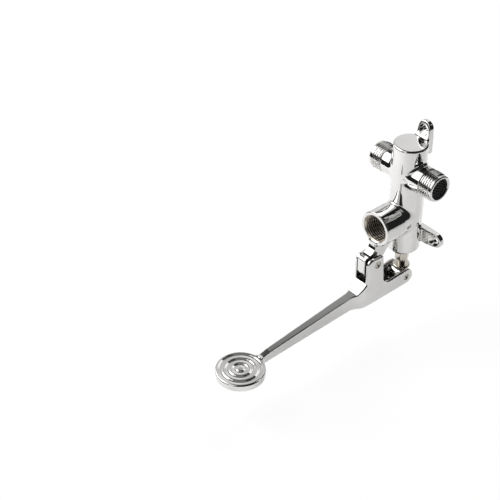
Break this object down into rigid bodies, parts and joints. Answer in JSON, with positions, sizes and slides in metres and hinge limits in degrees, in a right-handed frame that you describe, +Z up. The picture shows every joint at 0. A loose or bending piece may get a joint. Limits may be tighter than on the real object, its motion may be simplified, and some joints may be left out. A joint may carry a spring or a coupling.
{
  "type": "foot pedal tap valve",
  "caption": "Chrome wall-mounted foot pedal mixing valve: barrel with threaded inlets and outlet, wall lugs, and a pivoted lever with round ridged pedal that lifts a sprung plug.",
  "frame": {"origin": "midway between the two side screw holes, on the wall plane", "axes": "+X to the right as seen from the front, +Y into the wall, +Z up along the barrel"},
  "size_m": [0.061, 0.1908, 0.1377],
  "materials": {
    "chrome": "polished chrome plate on a brass casting",
    "nickel": "turned, satin nickel plate",
    "brass": "turned, bare",
    "steel": "ground, bright",
    "rubber": "moulded, dull",
    "black_plastic": "moulded, fine matt"
  },
  "bodies": {
    "body": {"valve_body": "chrome", "seat_ring": "brass", "seat_o_ring": "rubber", "bonnet": "nickel", "bonnet_o_ring": "rubber", "stem_o_rings": "rubber", "return_spring": "steel", "check_body_left": "black_plastic", "check_body_right": "black_plastic", "check_spring_left": "steel", "check_spring_right": "steel", "check_o_ring_left": "rubber", "check_o_ring_right": "rubber", "strainer_left": "black_plastic", "strainer_right": "black_plastic"},
    "lever": {"lever": "chrome", "pivot_pin": "nickel", "roller_pin": "nickel"},
    "roller": {"roller": "steel"},
    "spindle": {"spindle": "nickel", "spindle_foot": "nickel", "valve_plug": "brass", "seat_washer": "rubber", "plug_nut": "brass"},
    "left_poppet": {"check_poppet_left": "black_plastic", "poppet_seal_left": "rubber"},
    "right_poppet": {"check_poppet_right": "black_plastic", "poppet_seal_right": "rubber"}
  },
  "joints": [
    {"name": "lever_pivot", "type": "hinge", "parent": "body", "child": "lever", "pos_m": [0, -0.0495, -0.006], "axis": [1, 0, 0], "range_deg": [0, 8], "stiffness_Nm_per_rad": 3, "springref_deg": -28.65},
    {"name": "roller_spin", "type": "hinge", "parent": "lever", "child": "roller", "pos_m": [0, -0.02, -0.0312], "axis": [1, 0, 0], "continuous": true},
    {"name": "spindle_lift", "type": "slide", "parent": "body", "child": "spindle", "axis": [0, 0, 1], "range_m": [0, 0.0044], "deforming": ["return_spring"]},
    {"name": "left_check", "type": "slide", "parent": "body", "child": "left_poppet", "axis": [1, 0, 0], "range_m": [0, 0.003], "stiffness_N_per_m": 60, "springref_m": -0.004, "deforming": ["check_spring_left"]},
    {"name": "right_check", "type": "slide", "parent": "body", "child": "right_poppet", "axis": [-1, 0, 0], "range_m": [0, 0.003], "stiffness_N_per_m": 60, "springref_m": -0.004, "deforming": ["check_spring_right"]}
  ],
  "couplings": [
    {"joint": "spindle_lift", "follows": "lever_pivot", "m_per_rad": 0.03117}
  ]
}
